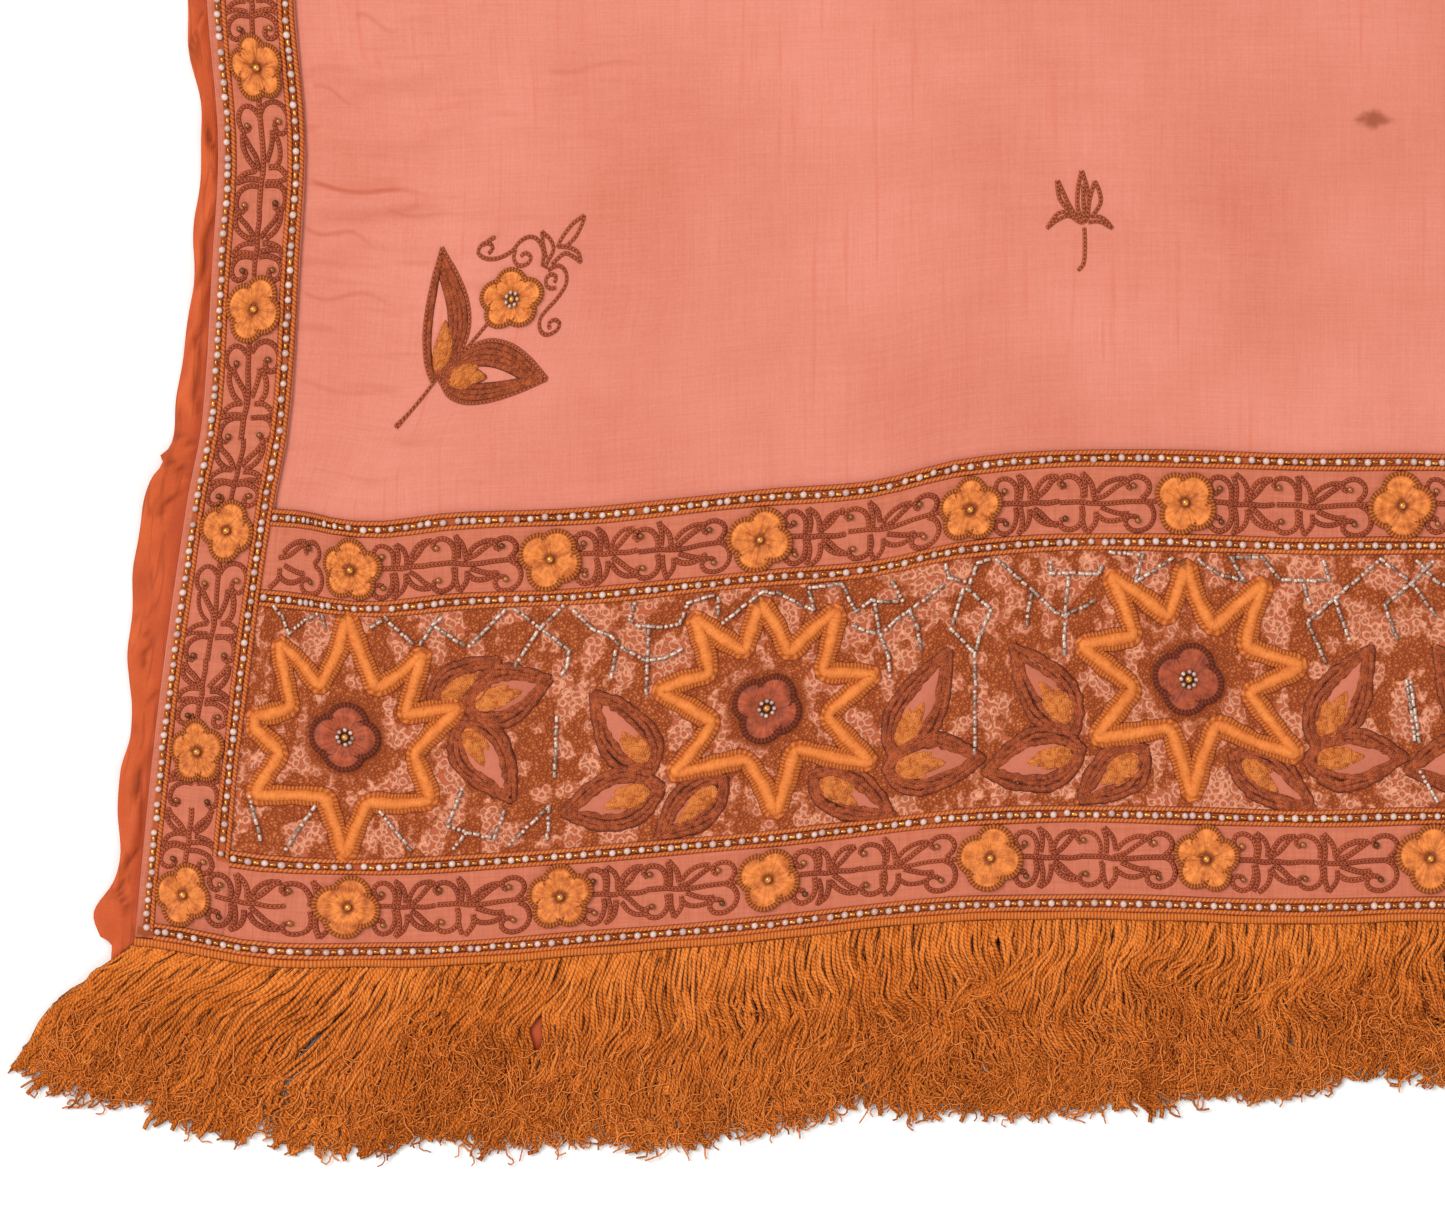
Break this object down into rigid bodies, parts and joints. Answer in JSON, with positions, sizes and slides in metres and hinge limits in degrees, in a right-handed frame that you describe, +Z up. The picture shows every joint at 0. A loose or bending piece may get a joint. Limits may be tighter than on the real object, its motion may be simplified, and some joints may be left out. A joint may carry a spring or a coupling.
{
  "type": "embroidered dupatta",
  "caption": "Long dupatta laid flat: lining under a sheer face cloth, embroidered star and flower borders, beaded braid and thread fringe at both ends.",
  "frame": {"origin": "under the middle of the whole laid piece, on the surface it lies on", "axes": "+X across the cloth, +Y along its length, +Z up out of its face"},
  "size_m": [0.9628, 2.3936, 0.006],
  "materials": {
    "lining_cloth": "plain opaque orange lining, softly crumpled at its edge",
    "face_cloth": "sheer salmon plain weave over the lining",
    "border_embroidery": "rust chain stitch, orange couched cord, satin flowers and beaded braid",
    "fringe_thread": "fine silky rust gold threads in loose locks"
  },
  "bodies": {
    "root": {"lining": "lining_cloth", "face_cloth": "face_cloth", "side_border_left": "border_embroidery", "side_border_right": "border_embroidery", "end_border_near": "border_embroidery", "end_border_far": "border_embroidery", "fringe_near": "fringe_thread", "fringe_far": "fringe_thread"}
  },
  "joints": []
}
